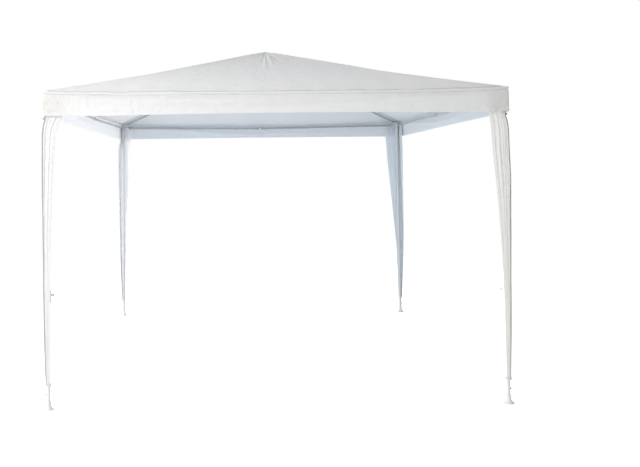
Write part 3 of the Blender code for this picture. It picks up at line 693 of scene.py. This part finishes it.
def leg_cover(key):
    sx, sy = CORNERS[key]
    table = np.array(COVER[key])[::-1]
    z = np.concatenate([np.arange(0.150, 1.830, 0.012), np.arange(1.830, 1.886, 0.004), np.arange(1.890, 1.9901, 0.010)])[::-1]
    reach = np.interp(z, table[:, 0], table[:, 1])
    out = np.interp(z, table[:, 0], table[:, 2])
    kernel = np.ones(5) / 5
    reach[3:-3] = np.convolve(reach, kernel, "same")[3:-3]
    out[3:-3] = np.convolve(out, kernel, "same")[3:-3]
    half = 44
    u = np.concatenate([-np.linspace(1, 0, half + 1), np.linspace(0, 1, half + 1)[1:]])
    seed = {"fl": 21, "fr": 22, "br": 23, "bl": 24}[key]
    rs = np.random.RandomState(seed)
    Z, U = np.meshgrid(z, u, indexing="ij")
    R = np.broadcast_to(reach[:, None], Z.shape)
    O = np.broadcast_to(out[:, None], Z.shape)
    length = R + O
    d = np.abs(U) * length
    rc = np.minimum(0.0165, 0.62 * O)
    turn = np.where(d < rc, (1 - d / rc) * math.pi / 4, 0)
    first = np.where(d < rc, O - rc + rc * np.cos(turn), O)          # across the face's own outward axis
    second = np.where(d < rc, O - rc + rc * np.sin(turn), O - d)     # along the face
    # pleats run down the cover and close up towards the tie
    spread = smooth((Z - 0.16) / 0.25)
    top = smooth((1.99 - Z) / 0.12)
    span = np.sign(U) * np.abs(U) ** 0.9
    pleat = np.zeros_like(Z)
    for k, w in ((4.3, 1.0), (6.6, 0.7), (9.1, 0.35)):
        ph = rs.uniform(0, 2 * math.pi)
        pleat += w * np.cos(2 * math.pi * (k * span / 2 * 1.6) + ph + 0.55 * noise(np.stack([U * 0.7, Z * 1.1, Z * 0 + seed], -1), 1.0, seed))
    lift = (0.0010 + 0.0005 * smooth((1.9 - Z) / 0.3)) * pleat * (0.25 + 0.75 * spread) * (0.35 + 0.65 * top)
    lift *= np.clip(length / 0.125, 0.18, 1.0) ** 1.3 * (0.45 + 0.55 * smooth((Z - 0.9) / 0.7))
    lift += 0.0016 * noise(np.stack([U * 2.0, Z * 3.0, Z * 0 + seed], -1), 1.0, 5) * top * spread
    # a shallow valley where the sleeve round the tube meets the gathered cloth
    valley = bell((d - 0.030 * np.clip(length / 0.09, 0.45, 1.0)) / 0.0045)
    lift -= 0.0018 * valley * smooth((length - 0.040) / 0.02) * top
    lift += 0.0009 * noise(np.stack([U * 9.0, Z * 14.0, Z * 0 + seed], -1), 1.0, 8)
    # flat over the round of the corner and round the knob's eyelet
    lift *= 0.45 + 0.55 * smooth(d / 0.02)
    rests = smooth((np.hypot(O - d, Z - KNOB_Z) - 0.016) / 0.02)
    lift = np.where(U > 0 if sx * sy != 0 else False, lift * rests, lift)
    # behind the border the cover lies close to the leg
    tucked = smooth((Z - 1.855) / 0.03)
    lift = np.minimum(lift, 0.0012 * tucked + 0.02 * (1 - tucked))
    clear = 0.0142 + (0.0205 - 0.0142) * smooth((Z - 0.55) / 0.10)
    lift = np.maximum(lift, -(O - clear))
    ax = np.where(U < 0, second, first)      # x reach: along the front or back face, then out of the side face
    ay = np.where(U < 0, first, second)
    ax = ax + np.where(U >= 0, lift, 0.4 * lift * (1 - smooth(d / 0.02)))
    ay = ay + np.where(U < 0, lift, 0.4 * lift * (1 - smooth(d / 0.02)))
    # at the foot the sheet closes round the tube
    p = np.stack([sx * (LEG + ax), sy * (LEG + ay), Z], -1)
    nrm = grid_normals(p, False)
    flip = nrm[..., 0] * sx * (U >= 0) + nrm[..., 1] * sy * (U < 0)
    flipped = flip.mean() < 0
    if flipped:
        p = p[:, ::-1]
        U2 = U[:, ::-1]
        nrm = grid_normals(p, False)
    else:
        U2 = U
    # the eyelet for the pull knob, in the face that looks along x
    centre = (p[:-1, :-1] + p[1:, 1:]) / 2
    side_face = ((U2[:-1, :-1] + U2[1:, 1:]) > 0)
    hole = side_face & (np.hypot(centre[..., 1] - sy * LEG, centre[..., 2] - KNOB_Z) < 0.0085)
    # painted shade: a dark strip over the round of the outer corner, where the cloth turns away from the light
    dc = (d[:-1, :-1] + d[1:, 1:]) / 2
    uc = (U[:-1, :-1] + U[1:, 1:]) / 2
    rcc = (rc[:-1, :-1] + rc[1:, 1:]) / 2
    corner_shade = np.where(uc > 0, dc < rcc, dc < rcc * {"fl": 0.75, "fr": 0.62, "bl": 0.2, "br": 0.2}[key])
    if flipped:
        corner_shade = corner_shade[:, ::-1]
    # three of the covers take the painted-light or painted-shade copies of the cloth
    cloth = {"bl": DRAPE_LIT_BL, "br": DRAPE_SHADE_BR, "fr": DRAPE_LIT_FR}.get(key, DRAPE)
    # the head of the cover stays put round the knob; the rest is a piece of its own below it
    seam = int(np.argmin(np.abs(z - 1.830)))
    head = closed_sheet(f"leg_cover_head_{key}", p[:seam + 1], nrm[:seam + 1], 0.0012, [cloth, cloth, CORNER_SHADE_CLOTH], drop=hole[:seam], paint=corner_shade[:seam])
    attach(head, f"leg_{key}")
    obj = closed_sheet(f"leg_cover_{key}", p[seam:], nrm[seam:], 0.0012, [cloth, cloth, CORNER_SHADE_CLOTH], paint=corner_shade[seam:])
    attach(obj, f"leg_{key}")
    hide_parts(f"leg_drape_{key}")
    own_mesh(obj)
    return obj


for key in CORNERS:
    leg_cover(key)


def ring_solid(name, origin, axis, inner, outer, height, material, segments=40, round_by=0.0006):
    """A short ring with eased edges."""
    b = round_by
    profile = [(inner, b), (inner + b, 0), (outer - b, 0), (outer, b), (outer, height - b), (outer - b, height), (inner + b, height), (inner, height - b), (inner, b)]
    z = Vector(axis).normalized()
    x = z.orthogonal().normalized()
    y = z.cross(x)
    o = Vector(origin)
    loop = profile[:-1]
    verts, faces = [], []
    for i in range(segments):
        t = 2 * math.pi * i / segments
        for r, h in loop:
            verts.append(tuple(o + z * h + (x * math.cos(t) + y * math.sin(t)) * r))
    n = len(loop)
    for i in range(segments):
        j = (i + 1) % segments
        for c in range(n):
            d = (c + 1) % n
            faces.append([i * n + c, i * n + d, j * n + d, j * n + c][::-1])
    mesh = bpy.data.meshes.new(name)
    mesh.from_pydata(verts, [], faces)
    mesh.materials.append(material)
    mesh.shade_smooth()
    mesh.set_sharp_from_angle(angle=math.radians(35))
    obj = bpy.data.objects.new(name, mesh)
    scene.collection.objects.link(obj)
    return obj


for key, (sx, sy) in CORNERS.items():
    eyelet = ring_solid(f"knob_eyelet_{key}", (sx * (LEG + 0.0206), sy * LEG, KNOB_Z), (sx, 0, 0), 0.0072, 0.0135, 0.0026, ZINC)
    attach(eyelet, f"leg_{key}")



def strap(name, key, z0, z1, reach_out, reach_in, thick, material):
    """A strap drawn round the foot of a leg cover: a rounded square loop."""
    sx, sy = CORNERS[key]
    centre = (reach_out - reach_in) / 2
    half = (reach_out + reach_in) / 2

    def loop(h, r):
        pts = []
        for qx, qy, start in ((1, 1, 0), (-1, 1, 90), (-1, -1, 180), (1, -1, 270)):
            for i in range(9):
                t = math.radians(start + 90 * i / 8)
                pts.append((centre + qx * (h - r) + r * math.cos(t), centre + qy * (h - r) + r * math.sin(t)))
        return pts

    outer, inner = loop(half, 0.012), loop(half - thick, 0.012 - thick)
    n = len(outer)
    e = 0.0003
    rings = [(outer, z0 + e), (outer, z1 - e), (loop(half - e, 0.012 - e), z1), (loop(half - thick + e, 0.012 - thick + e), z1),
             (inner, z1 - e), (inner, z0 + e), (loop(half - thick + e, 0.012 - thick + e), z0), (loop(half - e, 0.012 - e), z0)]
    verts = [(sx * (LEG + x), sy * (LEG + y), z) for pts, z in rings for x, y in pts]
    faces = []
    count = len(rings)
    for a in range(count):
        b = (a + 1) % count
        for i in range(n):
            j = (i + 1) % n
            f = [a * n + i, a * n + j, b * n + j, b * n + i]
            faces.append(f if sx * sy > 0 else f[::-1])
    mesh = bpy.data.meshes.new(name)
    mesh.from_pydata(verts, [], faces)
    mesh.materials.append(material)
    mesh.shade_smooth()
    mesh.set_sharp_from_angle(angle=math.radians(35))
    obj = bpy.data.objects.new(name, mesh)
    scene.collection.objects.link(obj)
    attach(obj, f"lower_leg_{key}")
    return obj


for key, (sx, sy) in CORNERS.items():
    strap(f"cover_tie_{key}", key, 0.1525, 0.1610, 0.0192, 0.0168, 0.0011, DRAPE)
    toggle = turned(f"cover_toggle_{key}", [(0.0, 0.0085), (0.0030, 0.0085), (0.0046, 0.0072), (0.0050, 0.0050), (0.0046, 0.0016), (0.0034, 0.0), (0.0, 0.0)],
                    (sx * (LEG + 0.0105), sy * LEG, 0.094), (sx, 0, 0), GREY, 28)
    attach(toggle, f"lower_leg_{key}")

# ---------------------------------------------------------------- stage

floor_mesh = bpy.data.meshes.new("floor")
floor_mesh.from_pydata([(-40, -40, 0), (40, -40, 0), (40, 40, 0), (-40, 40, 0)], [], [(0, 1, 2, 3)])
floor = bpy.data.objects.new("floor", floor_mesh)
scene.collection.objects.link(floor)
m, tree, out = new_material("pale_floor")
body = tree.nodes.new("ShaderNodeBsdfDiffuse")
body.inputs["Color"].default_value = (0.92, 0.92, 0.92, 1)
lamp = tree.nodes.new("ShaderNodeEmission")
lamp.inputs["Color"].default_value = (1, 1, 1, 1)
path = tree.nodes.new("ShaderNodeLightPath")
gain = tree.nodes.new("ShaderNodeMath")
gain.operation = "MULTIPLY_ADD"
gain.inputs[1].default_value = 0.40
gain.inputs[2].default_value = 0.22
tree.links.new(path.outputs["Is Camera Ray"], gain.inputs[0])
tree.links.new(gain.outputs[0], lamp.inputs["Strength"])
add = tree.nodes.new("ShaderNodeAddShader")
tree.links.new(body.outputs["BSDF"], add.inputs[0])
tree.links.new(lamp.outputs["Emission"], add.inputs[1])
tree.links.new(add.outputs["Shader"], out.inputs["Surface"])
floor_mesh.materials.append(m)

world = bpy.data.worlds.new("studio")
scene.world = world
world.use_nodes = True
wt = world.node_tree
for n in list(wt.nodes):
    wt.nodes.remove(n)
wout = wt.nodes.new("ShaderNodeOutputWorld")
fill = wt.nodes.new("ShaderNodeBackground")
fill.inputs["Color"].default_value = (1.0, 0.985, 0.965, 1)
fill.inputs["Strength"].default_value = 0.46
white = wt.nodes.new("ShaderNodeBackground")
white.inputs["Color"].default_value = (1, 1, 1, 1)
white.inputs["Strength"].default_value = 1.0
wpath = wt.nodes.new("ShaderNodeLightPath")
wmix = wt.nodes.new("ShaderNodeMixShader")
wt.links.new(wpath.outputs["Is Camera Ray"], wmix.inputs["Fac"])
wt.links.new(fill.outputs["Background"], wmix.inputs[1])
wt.links.new(white.outputs["Background"], wmix.inputs[2])
wt.links.new(wmix.outputs["Shader"], wout.inputs["Surface"])


def area(name, place, target, size, power, colour):
    light = bpy.data.lights.new(name, "AREA")
    light.shape = "RECTANGLE"
    light.size, light.size_y = size
    light.energy = power
    light.color = colour
    obj = bpy.data.objects.new(name, light)
    obj.location = place
    obj.rotation_euler = (Vector(target) - Vector(place)).to_track_quat("-Z", "Y").to_euler()
    obj.visible_camera = False
    scene.collection.objects.link(obj)
    return obj


area("key", (-5.5, -5.1, 3.6), (-0.2, 0.0, 1.3), (3.5, 3.5), 350.0, (1.0, 0.99, 0.97))
area("sky", (-2.4, -2.0, 5.2), (-0.6, -0.8, 2.2), (4.0, 4.0), 74.0, (1.0, 0.99, 0.97))
area("side", (-5.4, 1.2, 0.9), (-1.5, 0.3, 1.9), (3.0, 1.4), 95.0, (1.0, 1.0, 1.0))
area("back", (0.2, 5.6, 1.5), (0.0, 1.5, 2.0), (5.0, 2.0), 92.0, (0.98, 0.99, 1.0))

# ---------------------------------------------------------------- camera

cam = bpy.data.cameras.new("camera")
camera = bpy.data.objects.new("camera", cam)
scene.collection.objects.link(camera)
cam.sensor_width = 36.0
cam.lens = 38.925
cam.shift_x, cam.shift_y = 0.1203, -0.1333
turn = Matrix.Rotation(-0.0091, 3, "Z") @ Matrix.Rotation(0.0373, 3, "X") @ Matrix.Rotation(0.0115, 3, "Y")
right, forward, up = turn.col[0], turn.col[1], turn.col[2]
m4 = Matrix.Identity(4)
for i in range(3):
    m4[i][0], m4[i][1], m4[i][2] = right[i], up[i], -forward[i]
m4.translation = Vector((-0.2547, -5.9443, 1.4852))
camera.matrix_world = m4
for channel, value in (("shift_x", 0.1203), ("shift_y", -0.1333)):
    driver = cam.driver_add(channel).driver
    driver.type = "SCRIPTED"
    var = driver.variables.new()
    var.name = "lx"
    var.type = "TRANSFORMS"
    var.targets[0].id = camera
    var.targets[0].transform_type = "LOC_X"
    var.targets[0].transform_space = "WORLD_SPACE"
    driver.expression = f"{value} if abs(lx + 0.2547) < 0.001 else 0.0"
scene.camera = camera
scene.view_settings.view_transform = "Standard"
scene.view_settings.look = "None"
